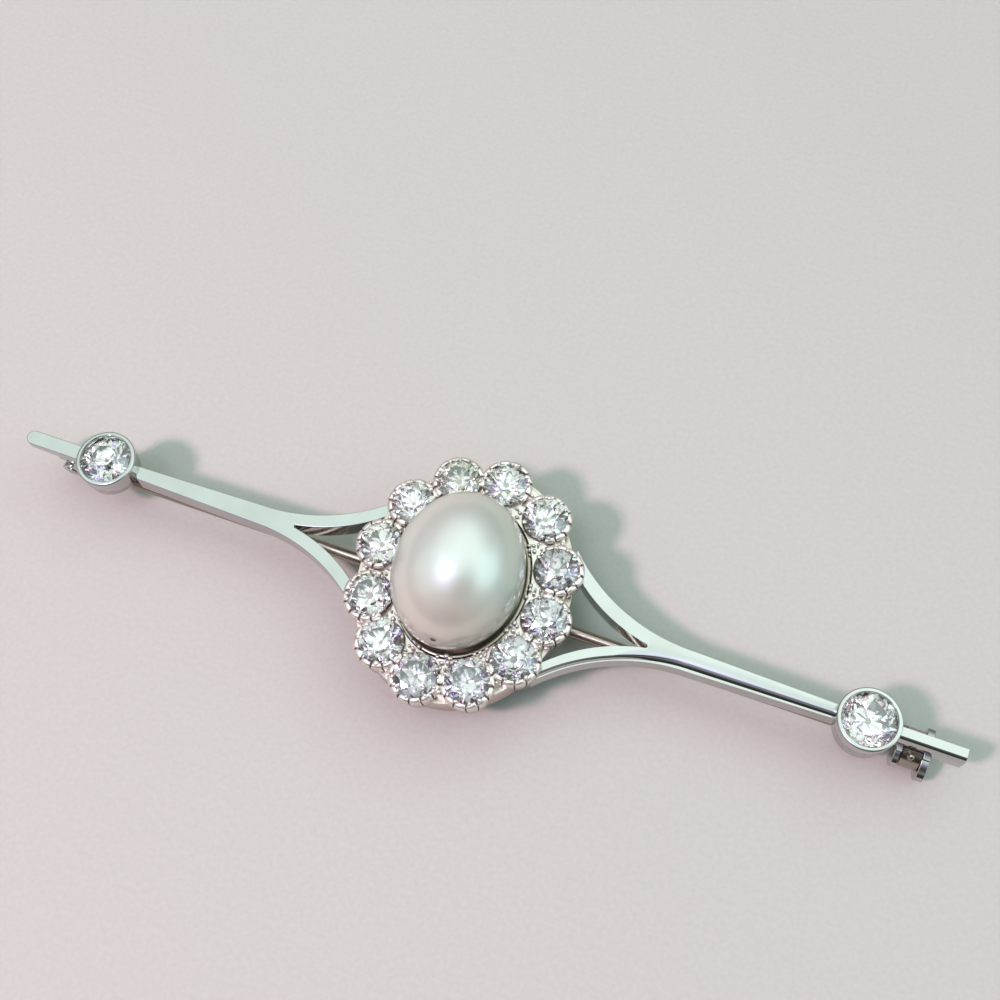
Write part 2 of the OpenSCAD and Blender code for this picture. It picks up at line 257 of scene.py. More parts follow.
def polishedWhiteGold(look):
    # white gold buffed on a wheel: a grey-white mirror with faint swirls
    material, tree, perMm = newMaterial("polishedWhiteGold")
    tint = ramp(tree, noise(tree, perMm, look["cloud"]), look["tints"])
    gloss = remap(tree, noise(tree, perMm, look["swirl"]), usualNoise, look["gloss"])
    normal = bumpFrom(tree, noise(tree, perMm, look["wave"]), look["waveBump"])
    return finishMaterial(material, tree, {"Metallic": 1.0},
                          {"Base Color": tint, "Roughness": gloss, "Normal": normal})


handCut = {
    "cloud": (1.6, 3.0, 0.55), "tints": ((0.3, "#ebe4dc"), (0.7, "#ddd5ca")),
    # painted reflection: a brown table's colour painted on the metal low down
    "paintedTableReflection": "#a8957a", "paintedReflectionHeight": (3.2, 5.1), "paintedReflectionShare": (0.9, 0.0),
    # partly grime and partly painted shade: darker in the nooks that ambient occlusion finds
    "grimeAndShade": "#6b5646", "grimeAndShadeShare": (0.85, 0.0),
    "nook": 0.3 * mm, "nookSamples": 6, "nookLight": (0.05, 0.5),
    "satin": (5.0, 4.0, 0.55), "gloss": (0.16, 0.28),
    "dents": (3.2, 3.0, 0.55), "dentBump": (0.35, 0.03 * mm),
    "metallic": 0.8,   # the plain rest stands for fine file marks, which catch the light from every side
}


def handCutPlatinum(look):
    # hand-cut platinum of the cluster: satin, with a painted reflection of a brown table low down, and grime
    # with painted shade in its nooks
    material, tree, perMm = newMaterial("handCutPlatinum")
    clean = ramp(tree, noise(tree, perMm, look["cloud"]), look["tints"])
    height = addNode(tree, "ShaderNodeSeparateXYZ", links={"Vector": perMm}).outputs["Z"]
    # painted reflection of a brown table, strongest low down
    lower = remap(tree, height, look["paintedReflectionHeight"], look["paintedReflectionShare"])
    withPaintedReflection = tinted(tree, lower, clean, look["paintedTableReflection"])
    # grime and painted shade in the nooks, from ambient occlusion
    nook = addNode(tree, "ShaderNodeAmbientOcclusion", {"samples": look["nookSamples"]},
                   {"Distance": look["nook"]})
    deep = remap(tree, nook.outputs["AO"], look["nookLight"], look["grimeAndShadeShare"])
    tint = tinted(tree, deep, withPaintedReflection, look["grimeAndShade"])
    gloss = remap(tree, noise(tree, perMm, look["satin"]), usualNoise, look["gloss"])
    normal = bumpFrom(tree, noise(tree, perMm, look["dents"]), look["dentBump"])
    return finishMaterial(material, tree, {"Metallic": look["metallic"]},
                          {"Base Color": tint, "Roughness": gloss, "Normal": normal})


drawn = {
    # the tints are partly the bare alloy's warmer tone and partly painted shade and a painted reflection of
    # a brown table
    "stretch": (0.04, 1, 1), "lines": (14.0, 3.0, 0.55), "tints": ((0.3, "#b3a79b"), (0.7, "#94877b")),
    "lineBump": (0.15, 0.004 * mm), "roughness": 0.2,
}


def drawnWhiteGold(look):
    # bare white gold of the pin and the catch, drawn or turned: a browner grey with fine lines, partly the
    # unplated alloy's own warmer tone and partly painted shade and a painted reflection of a brown table
    material, tree, perMm = newMaterial("drawnWhiteGold")
    along = addNode(tree, "ShaderNodeMapping", values={"Scale": look["stretch"]}, links={"Vector": perMm})
    lines = noise(tree, along.outputs["Vector"], look["lines"])
    return finishMaterial(material, tree, {"Metallic": 1.0, "Roughness": look["roughness"]},
                          {"Base Color": ramp(tree, lines, look["tints"]),
                           "Normal": bumpFrom(tree, lines, look["lineBump"])})


cutStone = {
    "cloud": (0.8, 1.0, 0.55), "cloudTint": (0.2, "#e8e4e8"), "tintFrom": 0.5,
    "glass": {"Roughness": 0.08, "IOR": 2.417, "Transmission Weight": 1.0},
}


def oldCutDiamond(name, tintHex, look):
    # polished diamond: very high refraction, facets a little worn, tinted, with faint clouds inside
    material, tree, perMm = newMaterial(name)
    tint = ramp(tree, noise(tree, perMm, look["cloud"]), (look["cloudTint"], (look["tintFrom"], tintHex)))
    return finishMaterial(material, tree, look["glass"], {"Base Color": tint})


nacre = {
    # the body's tints from its lower end to its upper end: painted light, set against the pink lamp's
    # colour, with a warmer painted reflection of a brown table at the lower end
    "tints": ((0.0, "#c4c6b4"), (0.45, "#c0cec0"), (1.0, "#c8ccbf")), "paintedLightPerMm": 0.13,
    "cloud": (0.22, 2.0, 0.55), "skin": (2.2, 3.0, 0.55), "skinBump": (0.05, 0.03 * mm),
    "pitTint": "#4d332c", "pitEdge": (0.18, 0.28), "pitShare": (0.9, 0.0),
    "layers": {
        "Metallic": 0.4, "Roughness": 0.32, "IOR": 1.6,
        "Coat Weight": 1.0, "Coat Roughness": 0.17, "Coat IOR": 1.7,
        "Thin Film Thickness": 310.0, "Thin Film IOR": 1.45,
        "Subsurface Weight": 0.6, "Subsurface Radius": (1.0, 0.95, 0.85), "Subsurface Scale": 1.2 * mm,
    },
}


def creamNacre(look, pitAt):
    # pearl: a soft glow from inside under thin clear layers, silvery green, its tint shifting along its
    # length as painted light: greener against the pink lamp, and a warmer painted reflection of a brown
    # table at one end
    material, tree, perMm = newMaterial("creamNacre")
    along = addNode(tree, "ShaderNodeSeparateXYZ", links={"Vector": perMm}).outputs["Y"]
    cloud = noise(tree, perMm, look["cloud"])
    # painted light: the body's tint shifts along Y against the pink lamp's colour, warmer at the lower end
    # as a painted reflection of a brown table
    body = ramp(tree, calculate(tree, "MULTIPLY_ADD", along, look["paintedLightPerMm"], cloud), look["tints"])
    away = addNode(tree, "ShaderNodeVectorMath", {"operation": "DISTANCE"}, {1: pitAt}, {0: perMm})
    inPit = remap(tree, away.outputs["Value"], look["pitEdge"], look["pitShare"])
    normal = bumpFrom(tree, noise(tree, perMm, look["skin"]), look["skinBump"])
    return finishMaterial(material, tree, look["layers"],
                          {"Base Color": tinted(tree, inPit, body, look["pitTint"]), "Normal": normal})


card = {
    "tooth": (3.0, 4.0, 0.55), "tints": ((0.3, "#a9ada2"), (0.7, "#a3a79c")),
    "toothBump": (0.1, 0.02 * mm), "roughness": 0.7,
}


def mattePaleCard(look):
    # the table under the brooch: plain off-white card with a very fine tooth
    material, tree, perMm = newMaterial("mattePaleCard")
    tooth = noise(tree, perMm, look["tooth"])
    return finishMaterial(material, tree, {"Roughness": look["roughness"]},
                          {"Base Color": ramp(tree, tooth, look["tints"]),
                           "Normal": bumpFrom(tree, tooth, look["toothBump"])})


# Camera, floor and lights

cameraView = {   # degrees and mm
    "azimuth": 25.49, "elevation": 67.27, "roll": -5.57, "lens": 46.52,
    "distance": 85, "right": 2.09, "up": 5.61, "aimHeight": 4.1, "clipStart": 2, "clipEnd": 5000,
}


def direction(azimuth, elevation):
    turn, rise = radians(azimuth), radians(elevation)
    return Vector((sin(turn) * cos(rise), -cos(turn) * cos(rise), sin(rise)))


def makeCamera(view):
    turn, roll = radians(view["azimuth"]), radians(view["roll"])
    back = direction(view["azimuth"], view["elevation"])
    level = Vector((cos(turn), sin(turn), 0))
    above = back.cross(level)
    right = level * cos(roll) + above * sin(roll)
    up = above * cos(roll) - level * sin(roll)
    data = bpy.data.cameras.new("brooch_camera")
    data.lens = view["lens"]
    data.clip_start = view["clipStart"] * mm
    data.clip_end = view["clipEnd"] * mm
    place = back * view["distance"] + right * view["right"] + up * view["up"]
    place.z += view["aimHeight"]
    camera = inScene("brooch_camera", data)
    camera.matrix_world = Matrix.Translation(place * mm) @ Matrix((right, up, back)).transposed().to_4x4()
    scene.camera = camera


studio = {
    "floorSize": 1600,
    # the room's light by height: share of the way up, colour
    "room": ((0.0, "#7e7f7d"), (0.45, "#8f9290"), (0.8, "#a6acaa"), (1.0, "#b0b7b4")),
    # broad glows of the room: azimuth, elevation, inner and outer half angle, colour, strength;
    # a strength below 0 is a dark part, which takes its share of the light away
    "glows": {
        "mintCeiling": (184, 68, 18, 50, "#e2f8f3", 0.98),
        "ceilingRight": (160, 62, 4, 30, "#eefaf8", 0.35),
        "windowRight": (103, 33, 6, 30, "#cdeef6", 1.4),
        "rightFill": (105, 24, 8, 50, "#dfeae6", 0.4),
        "glowLeft": (-66, 44, 8, 38, "#d6ebee", 0.6),
        "photographer": (42, 52, 8, 25, "#3a3836", -1.0),
        "lowFront": (10, 8, 12, 34, "#3a3836", -0.95),
        "keyGlow": (-40, 74, 3, 10, "#f8f4ff", 7.0),
        "keyHaze": (-30, 70, 5, 24, "#c6b4ff", 1.4),
    },
    # lamps for light and shadow: place, side, watts, colour
    "lamps": {
        "pinkKey": ((-220, -220, 412), 66, 2.6, "#ffcee6"),
        "violetSpark": ((150, -120, 230), 40, 0.03, "#b89cff"),
        "roseSpark": ((-210, 40, 190), 40, 0.03, "#ffa8c8"),
        "mintSpark": ((60, 200, 190), 40, 0.03, "#a8ffe4"),
    },
}


def makeRoom(settings):
    world = bpy.data.worlds.new("softRoom")
    world.use_nodes = True
    tree = world.node_tree
    tree.nodes.clear()
    towards = addNode(tree, "ShaderNodeTexCoord").outputs["Generated"]
    height = addNode(tree, "ShaderNodeSeparateXYZ", links={"Vector": towards})
    light = ramp(tree, height.outputs["Z"], settings["room"])
    for azimuth, elevation, inner, outer, tint, strength in settings["glows"].values():
        near = addNode(tree, "ShaderNodeVectorMath", {"operation": "DOT_PRODUCT"},
                       {1: direction(azimuth, elevation)}, {0: towards})
        edge = {"From Min": cos(radians(outer)), "From Max": cos(radians(inner))}
        lobe = addNode(tree, "ShaderNodeMapRange", {"interpolation_type": "SMOOTHSTEP"},
                       {**edge, "To Max": abs(strength)}, {"Value": near.outputs["Value"]})
        light = tinted(tree, lobe.outputs["Result"], light, tint,
                       blend_type="ADD" if strength > 0 else "MIX", clamp_factor=False)
    sky = addNode(tree, "ShaderNodeBackground", links={"Color": light})
    addNode(tree, "ShaderNodeOutputWorld", links={"Surface": sky.outputs["Background"]})
    scene.world = world


def makeStudio(settings):
    half = settings["floorSize"] / 2 * mm
    mesh = bpy.data.meshes.new("studio_floor")
    mesh.from_pydata([(x, y, 0) for x, y in box(-half, half, -half, half)], [], [(0, 1, 2, 3)])
    mesh.materials.append(mattePaleCard(card))
    floor = inScene("studio_floor", mesh)
    for name, (place, side, watts, tint) in settings["lamps"].items():
        lamp = bpy.data.lights.new(name, "AREA")
        lamp.size = side * mm
        lamp.energy = watts
        lamp.color = colour(tint)[:3]
        holder = inScene(name, lamp)
        holder.location = Vector(place) * mm
        holder.rotation_euler = holder.location.to_track_quat("Z", "Y").to_euler()
        holder.visible_camera = False
        holder.visible_glossy = False   # the metal mirrors the room's glows alone
    makeRoom(settings)


scene.view_settings.view_transform = "Standard"
makeCamera(cameraView)
makeStudio(studio)
print("camera and studio ready")

whiteGold = polishedWhiteGold(buffed)
platinum = handCutPlatinum(handCut)
bareGold = drawnWhiteGold(drawn)
whiteDiamond = oldCutDiamond("oldCutDiamondWhite", "#e8e3dc", cutStone)
creamDiamond = oldCutDiamond("oldCutDiamondCream", "#dcd8c6", cutStone)
greyDiamond = oldCutDiamond("oldCutDiamondGrey", "#cac4c2", cutStone)


# The bar: one strip of metal that splits into two arms on each side of the cluster

forkedBar = {
    "top": 4.1, "depth": 1.6, "endX": 24.85, "endWidth": 0.9, "rootWidth": 1.36,
    # an arm's edges are arcs: where they leave the bar, radius, how far the inner one dips past the middle
    "flareX": 15.2, "outerRadius": 12.5, "outerSteps": 40,
    "innerX": 14.5, "innerRadius": 11.6, "innerSteps": 36, "innerDip": 0.09, "armEndX": 6.0,
    "crotchLeft": 12.5, "crotchRight": 12.2, "crotchAngle": 65, "crotchSteps": 7,
    "edgeRound": 0.06, "wornRound": 0.03,
    # the right half's lower side is worn to a slope and a ledge: depth below the top, share of half
    # the width, with less of it along the arm
    "worn": ((0.0, 0.88), (0.04, 0.7), (0.1, 0.53), (0.16, 0.42), (0.26, 0.28), (0.27, 0.02), (0.36, 0.0)),
    "armWorn": 0.5, "wornFrom": 10.5, "wornFull": 14.6, "wornMargin": 0.05,
    # a small notch was left where the left half meets its collet, drawn here on the +X side
    "notch": ((24.3, -0.455), (24.38, -0.36), (24.5, -0.16), (24.9, -0.12)),
}


def outerCentre(size):
    return size["flareX"], size["rootWidth"] / 2 + size["outerRadius"]


def forkOutline(size, crotchX):
    # closed outline of one half of the bar, on the +X side
    outer, outerR = outerCentre(size), size["outerRadius"]
    innerR = size["innerRadius"]
    inner = (size["innerX"], innerR - size["innerDip"])

    def turnAt(centre, radius, x):
        return degrees(asin((centre[0] - x) / radius))

    outerArc = arc(outer, outerR, -90, -90 - turnAt(outer, outerR, size["armEndX"]), size["outerSteps"])
    innerArc = arc(inner, innerR, -90 - turnAt(inner, innerR, size["armEndX"]),
                   -90 - turnAt(inner, innerR, crotchX), size["innerSteps"])
    upper = [(size["endX"], size["endWidth"] / 2)] + outerArc + innerArc
    (crotchAt, crotchR), turn = innerArc[-1], size["crotchAngle"]
    crotch = arc((crotchAt, 0), crotchR, turn, -turn, size["crotchSteps"])
    return upper + crotch + [(x, -y) for x, y in reversed(upper)]


def wornLevels(size, outline):
    # the outline at each worn level, with its lower side drawn in
    centreX, centreY = outerCentre(size)
    halfRoot, halfEnd = size["rootWidth"] / 2, size["endWidth"] / 2
    levels = []
    for depth, drawnIn in size["worn"]:
        ring = []
        for x, y in outline:
            along = share(x, size["flareX"], size["endX"])
            full = share(x, size["wornFrom"], size["wornFull"])
            half = halfRoot * (1 - along) + halfEnd * along
            reach = drawnIn * half * (size["armWorn"] * (1 - full) + full)
            away = Vector((min(0.0, x - centreX), y + centreY))
            onSide = y < 0 and (x > centreX or away.length < size["outerRadius"] + size["wornMargin"])
            move = away.normalized() * reach if onSide else Vector((0, 0))
            ring.append((x + move.x, y + move.y))
        levels.append((size["top"] - depth, ring))
    return levels


def makeForkedBar(size):
    bottom = size["top"] - size["depth"]
    outline = forkOutline(size, size["crotchRight"])
    right = loft(wornLevels(size, outline) + [(bottom, outline)])
    makeMount("forkRight", right, whiteGold, edgeRound=size["wornRound"])
    notched = forkOutline(size, size["crotchLeft"])[:-1] + list(size["notch"])
    left = plate([(-x, y) for x, y in notched], bottom, size["top"])
    makeMount("forkLeft", left, whiteGold, edgeRound=size["edgeRound"])


makeForkedBar(forkedBar)


tails = {
    "startX": 28.5, "leftTip": 33.1, "leftWidth": 1.04, "leftTipDepth": 0.62, "leftRootDepth": 1.1,
    "leftRound": 0.07, "tipSteps": 17, "rightTip": 33.0, "rightWidth": 0.92, "rightRound": 0.05,
    # the right tail is filed round along its lower side: depth below the top, share of half the width
    "rightFiled": ((0.0, 0.7), (0.06, 0.5), (0.16, 0.3), (0.28, 0.16), (0.42, 0.06), (0.6, 0.0)),
}


def makeTails(size):
    top, start = forkedBar["top"], size["startX"]
    half = size["leftWidth"] / 2
    tip = arc((-size["leftTip"] + half, 0), half, 90, 270, size["tipSteps"])
    left = plate([(-start, half)] + tip + [(-start, -half)], top - size["leftRootDepth"], top)
    slope = (size["leftRootDepth"] - size["leftTipDepth"]) / (size["leftTip"] - start)
    for v in left.verts:
        if v.co.z < top - size["leftTipDepth"] / 2:
            v.co.z += slope * (-start - v.co.x)   # thinner towards the tip
    makeMount("tailLeft", left, whiteGold, edgeRound=size["leftRound"])
    half = size["rightWidth"] / 2
    levels = [(top - depth, -half * (1 - filed)) for depth, filed in size["rightFiled"]]
    levels.append((top - forkedBar["depth"], -half))
    right = loft([(z, box(start, size["rightTip"], y, half)) for z, y in levels])
    makeMount("tailRight", right, whiteGold, edgeRound=size["rightRound"])


makeTails(tails)
print("bar and tails made")


# End collets: rub-over rims round the two end diamonds

endCollet = {
    "x": 26.7, "topRadius": 2.06, "footRadius": 1.94, "top": 4.8, "footLeft": 2.9, "footRight": 2.35,
    "stone": 3.64, "girdleZ": 4.5, "backRadius": 1.05, "sides": 96,
    # parts of the section, as steps outwards and up: the foot's outer edge from the foot radius, the
    # rolled rim from the top radius, the seat from the stone's girdle, the open back from its bore
    "footOutside": ((-0.05, 0.0), (0.0, 0.06)),
    "rim": ((-0.01, -0.26), (0.0, -0.14), (-0.02, -0.07), (-0.06, -0.02), (-0.12, 0.0), (-0.27, -0.01)),
    "seat": ((-0.06, 0.25), (-0.1, 0.18), (-0.1, 0.1), (0.02, 0.07), (0.02, -0.07), (-0.22, -0.32)),
    "back": ((0.1, -0.9), (0.0, -1.1)), "footInside": ((0.0, 0.05), (0.06, 0.0)),
}


def offsets(radius, height, rows):
    return [(radius + out, height + up) for out, up in rows]


def makeEndCollet(name, side, foot, size):
    profile = offsets(size["footRadius"], foot, size["footOutside"])
    profile += offsets(size["topRadius"], size["top"], size["rim"])
    profile += offsets(size["stone"] / 2, size["girdleZ"], size["seat"])
    profile += offsets(size["backRadius"], size["girdleZ"], size["back"])
    profile += offsets(size["backRadius"], foot, size["footInside"])
    ring = placed(lathe(profile, size["sides"], closed=True), Matrix.Translation((side * size["x"], 0, 0)))
    makeMount(name, ring, whiteGold, sharpAngle=38)


makeEndCollet("endColletLeft", -1, endCollet["footLeft"], endCollet)
makeEndCollet("endColletRight", 1, endCollet["footRight"], endCollet)
print("end collets made")


# The cluster: twelve collets round the pearl

halo = {
    "count": 12, "centreX": -0.24, "halfWidth": 5.95, "halfHeight": 7.15, "turn": -4.8,
    "shift": (-3, -2.5, -0.5, 2, 0.5, 0, 1, 3, 1.5, 0, -0.5, -1.5),   # degrees, each stone off even spacing
    "girdleZ": 5.35, "tilt": 2.0, "stone": 3.1, "baseZ": 2.6,
}


def stoneSeat(k):
    # place and rotation of stone k on the oval
    k %= halo["count"]
    a, b = halo["halfWidth"], halo["halfHeight"]
    even = radians(360 * k / halo["count"] + halo["turn"] + halo["shift"][k])
    turn = even - (b - a) / (b + a) / 2 * sin(2 * even)
    heading = atan2(a * sin(turn), b * cos(turn))
    place = Vector((halo["centreX"] + a * cos(turn), b * sin(turn), halo["girdleZ"]))
    return place, Euler((0, radians(halo["tilt"]), heading))


def seatMatrix(k):
    place, turn = stoneSeat(k)
    return Matrix.Translation(place) @ turn.to_matrix().to_4x4()


def haloPoint(turn, offset):
    # a point beside the oval that the stones stand on, at an angle in radians
    a, b = halo["halfWidth"], halo["halfHeight"]
    away = Vector((b * cos(turn), a * sin(turn))).normalized()
    return Vector((halo["centreX"] + a * cos(turn), b * sin(turn))) + away * offset


def seatAngle(k):
    place, _ = stoneSeat(k)
    return atan2(place.y / halo["halfHeight"], (place.x - halo["centreX"]) / halo["halfWidth"])


gallery = {
    "below": 3.2, "footRadius": 1.42, "topRadius": 1.73, "boreRadius": 0.95, "sides": 64,
    # steps outwards and up, from the girdle: the rim behind the teeth, and the seat's slope to the bore
    "rim": ((-0.14, -0.5), (-0.13, -0.3), (-0.14, -0.15), (-0.17, -0.08)),
    "seat": ((0.3, -0.4), (0.0, -0.8)),
    # the fill between two collets: inner side, steps as outer side and top, radius kept clear for a stone
    "fillIn": -1.65, "fillSteps": ((0.7, 5.03), (1.1, 4.4)), "clear": 1.25, "fillRound": 0.08,
    "sidePoints": 40, "bendPoints": 10,
}


def makeGalleryFill(size):
    # solid metal between neighbouring collets, cut round so that the stones' backs stay open
    fill = bmesh.new()
    for k in range(halo["count"]):
        here, there = stoneSeat(k)[0].xy, stoneSeat(k + 1)[0].xy
        first = seatAngle(k)
        span = (seatAngle(k + 1) - first) % (2 * pi)

        def side(offset):
            count = size["sidePoints"]
            points = [haloPoint(first + span * i / count, offset) for i in range(count + 1)]
            return [p for p in points if min((p - here).length, (p - there).length) > size["clear"]]

        def bend(centre, start, end):
            turns = [atan2(*(p - centre).yx) for p in (start, end)]
            sweep = (turns[1] - turns[0] + pi) % (2 * pi) - pi
            steps = [turns[0] + sweep * i / size["bendPoints"] for i in range(1, size["bendPoints"])]
            return [centre + Vector((cos(t), sin(t))) * size["clear"] for t in steps]

        # the fill steps down towards the outside
        for reach, fillTop in size["fillSteps"]:
            outerSide, innerSide = side(reach), side(size["fillIn"])[::-1]
            outline = outerSide + bend(there, outerSide[-1], innerSide[0]) + innerSide
            outline += bend(here, innerSide[-1], outerSide[0])
            joinInto(fill, plate([tuple(p) for p in outline], halo["baseZ"], fillTop))
    makeMount("galleryFill", fill, platinum, sharpAngle=35, edgeRound=size["fillRound"])


def makeGalleryWall(size):
    wall = bmesh.new()
    bore, bottom = size["boreRadius"], -size["below"]
    profile = [(size["footRadius"], bottom)] + offsets(size["topRadius"], 0, size["rim"])
    profile += offsets(bore, 0, size["seat"]) + [(bore, bottom)]
    for k in range(halo["count"]):
        ring = placed(lathe(profile, size["sides"], closed=True), seatMatrix(k))
        cut = bmesh.ops.bisect_plane(ring, geom=ring.verts[:] + ring.edges[:] + ring.faces[:], dist=1e-4,
                                     plane_co=(0, 0, halo["baseZ"]), plane_no=(0, 0, 1), clear_inner=True)
        rim = [e for e in cut["geom_cut"] if isinstance(e, bmesh.types.BMEdge)]
        bmesh.ops.bridge_loops(ring, edges=rim)
        joinInto(wall, ring)
    makeMount("galleryWall", wall, platinum, sharpAngle=35)


makeGalleryFill(gallery)
makeGalleryWall(gallery)


claws = {
    "perStone": 9, "sweep": 216.0, "width": 0.74, "corner": 0.03, "flank": 0.9,
    # height above the girdle, inner radius, outer radius, share of the width
    "sections": ((-2.3, 1.4, 1.55, 0.98), (-0.6, 1.5, 1.76, 1.0), (-0.16, 1.5, 1.79, 1.0),
                 (0.0, 1.5, 1.76, 0.97), (0.09, 1.48, 1.69, 0.9), (0.13, 1.46, 1.59, 0.75)),
    "wobblePerMm": 0.9, "variation": 0.09,
}


def clawBlank(size):
    # one upright tooth of the collet's edge, its top pressed towards the stone
    levels = []
    for height, inner, radius, width in size["sections"]:
        half = size["width"] / 2 * width / radius   # half the tooth as an angle
        flank, corner = size["flank"] * half, radius - size["corner"]
        ring = ((inner, -half), (corner, -half), (radius, -flank), (radius, 0.0),
                (radius, flank), (corner, half), (inner, half), (inner, 0.0))
        levels.append((height, [(r * cos(turn), r * sin(turn)) for r, turn in ring]))
    return meshFrom("clawBlank", loft(levels), sharpAngle=50)


def newTree(name, inputs):
    tree = bpy.data.node_groups.new(name, "GeometryNodeTree")
    tree.interface.new_socket("Geometry", in_out="OUTPUT", socket_type="NodeSocketGeometry")
    for label, kind in {"Geometry": "Geometry", **inputs}.items():
        tree.interface.new_socket(label, in_out="INPUT", socket_type="NodeSocket" + kind)
    return tree, addNode(tree, "NodeGroupInput").outputs


def pointMesh(name, places):
    mesh = bpy.data.meshes.new(name)
    mesh.from_pydata(places, [], [])
    return mesh


def putOn(tree, points, instance, **turnOrScale):
    links = {"Points": points, "Instance": instance, **turnOrScale}
    return addNode(tree, "GeometryNodeInstanceOnPoints", links=links).outputs["Instances"]


def realized(tree, instances):
    return addNode(tree, "GeometryNodeRealizeInstances", links={"Geometry": instances}).outputs["Geometry"]


def finishTree(tree, geometry, material):
    dressed = addNode(tree, "GeometryNodeSetMaterial", links={"Geometry": geometry, "Material": material})
    addNode(tree, "NodeGroupOutput", links={"Geometry": dressed.outputs["Geometry"]})
    return tree


def grow(name, mesh, tree, settings):
    # runs a Geometry Nodes tree on a mesh in mm and keeps the result as a plain mesh of the soldered body
    source = inScene(name + "_source", mesh)
    modifier = source.modifiers.new(name, "NODES")
    modifier.node_group = tree
    sockets = {s.name: s.identifier for s in tree.interface.items_tree if s.in_out == "INPUT"}
    for label, value in settings.items():
        modifier[sockets[label]] = value
    graph = bpy.context.evaluated_depsgraph_get()
    result = bpy.data.meshes.new_from_object(source.evaluated_get(graph), depsgraph=graph)
    bpy.data.objects.remove(source)
    result.transform(Matrix.Scale(mm, 4))
    result.name = name
    settle(inScene(name, result), "brooch", ["mount"])


def clawTree(perMm):
    # seats in, a fan of claws on each seat out
    tree, given = newTree("clawsRoundStones", {
        "Claw": "Object", "Claws": "Int", "Sweep": "Float", "Variation": "Float", "Material": "Material"})
    claw = addNode(tree, "GeometryNodeObjectInfo", links={"Object": given["Claw"]})
    fan = addNode(tree, "GeometryNodePoints", links={"Count": given["Claws"]})
    index = addNode(tree, "GeometryNodeInputIndex")
    steps = calculate(tree, "SUBTRACT", given["Claws"], 1.0)
    middle = calculate(tree, "SUBTRACT", calculate(tree, "DIVIDE", index.outputs["Index"], steps), 0.5)
    turn = calculate(tree, "MULTIPLY", middle, given["Sweep"])
    spin = addNode(tree, "ShaderNodeCombineXYZ", links={"Z": turn})
    oneFan = realized(tree, putOn(tree, fan.outputs["Points"], claw.outputs["Geometry"],
                                  Rotation=spin.outputs["Vector"]))
    seatTurn = addNode(tree, "GeometryNodeInputNamedAttribute", {"data_type": "FLOAT_VECTOR"},
                       {"Name": "seatTurn"})
    allFans = realized(tree, putOn(tree, given["Geometry"], oneFan, Rotation=seatTurn.outputs["Attribute"]))
    # each claw was cut by hand, so none is quite like the next
    wobble = addNode(tree, "ShaderNodeTexNoise", values={"Scale": perMm, "Detail": 1.0})
    centred = addNode(tree, "ShaderNodeVectorMath", {"operation": "SUBTRACT"}, {1: (0.5, 0.5, 0.5)},
                      {0: wobble.outputs["Color"]})
    push = addNode(tree, "ShaderNodeVectorMath", {"operation": "SCALE"},
                   links={0: centred.outputs["Vector"], "Scale": given["Variation"]})
    moved = addNode(tree, "GeometryNodeSetPosition",
                    links={"Geometry": allFans, "Offset": push.outputs["Vector"]})
    return finishTree(tree, moved.outputs["Geometry"], given["Material"])


def makeClaws(size):
    blank = inScene("clawBlank", clawBlank(size))
    seats = [stoneSeat(k) for k in range(halo["count"])]
    points = pointMesh("seatPoints", [place for place, _ in seats])
    turns = points.attributes.new("seatTurn", "FLOAT_VECTOR", "POINT")
    for i, (_, turn) in enumerate(seats):
        turns.data[i].vector = tuple(turn)
    grow("haloClaws", points, clawTree(size["wobblePerMm"]), {
        "Claw": blank, "Claws": size["perStone"], "Sweep": radians(size["sweep"]),
        "Variation": size["variation"], "Material": platinum})
    bpy.data.objects.remove(blank)


makeClaws(claws)
print("gallery and claws made")


# Beads of metal: tips pressed over the stones' edges, and grains raised between the stones

beads = {
    "radius": 0.15, "stretch": ((0.5, 0.5, 0.5), (1.3, 1.3, 0.95)), "seed": 4,
    "tipsPerStone": 12, "tipRadius": 1.45, "tipZ": 0.19, "tipSpread": 345.0, "tipJitter": 11.0,
    # rows of grains between two stones: place outwards, number
    "gapRows": ((-1.5, 3), (-1.15, 2), (-0.75, 2), (0.75, 1)),
    "gapZ": 5.17, "gapStep": 0.4, "scatter": 0.09,
}


def beadTree(stretch):
    # places in, a bead of its own size on each place out
    tree, given = newTree("beadsOnPlaces", {"Radius": "Float", "Seed": "Int", "Material": "Material"})
    bead = addNode(tree, "GeometryNodeMeshIcoSphere", values={"Subdivisions": 2},
                   links={"Radius": given["Radius"]})
    smooth = addNode(tree, "GeometryNodeSetShadeSmooth", links={"Geometry": bead.outputs["Mesh"]})
    size = addNode(tree, "FunctionNodeRandomValue", {"data_type": "FLOAT_VECTOR"}, dict(enumerate(stretch)),
                   {"Seed": given["Seed"]})
    spread = putOn(tree, given["Geometry"], smooth.outputs["Geometry"], Scale=size.outputs["Value"])
    return finishTree(tree, realized(tree, spread), given["Material"])


def beadPlaces(size):
    rng = random.Random(size["seed"])
    places = []
    for k in range(halo["count"]):
        for i in range(size["tipsPerStone"]):
            turn = size["tipSpread"] * ((i + 0.5) / size["tipsPerStone"] - 0.5)
            turn = radians(turn + rng.uniform(-1, 1) * size["tipJitter"])
            tip = (size["tipRadius"] * cos(turn), size["tipRadius"] * sin(turn), size["tipZ"])
            places.append(seatMatrix(k) @ Vector(tip))
        here, there = stoneSeat(k)[0], stoneSeat(k + 1)[0]
        along = (there - here).normalized()
        outwards = Vector((along.y, -along.x, 0))
        for reach, count in size["gapRows"]:
            for i in range(count):
                step = (i - (count - 1) / 2) * size["gapStep"]
                spot = (here + there) / 2 + outwards * reach + along * step
                stray = Vector([rng.uniform(-1, 1) for _ in range(3)]) * size["scatter"]
                places.append(Vector((spot.x, spot.y, size["gapZ"])) + stray)
    return places


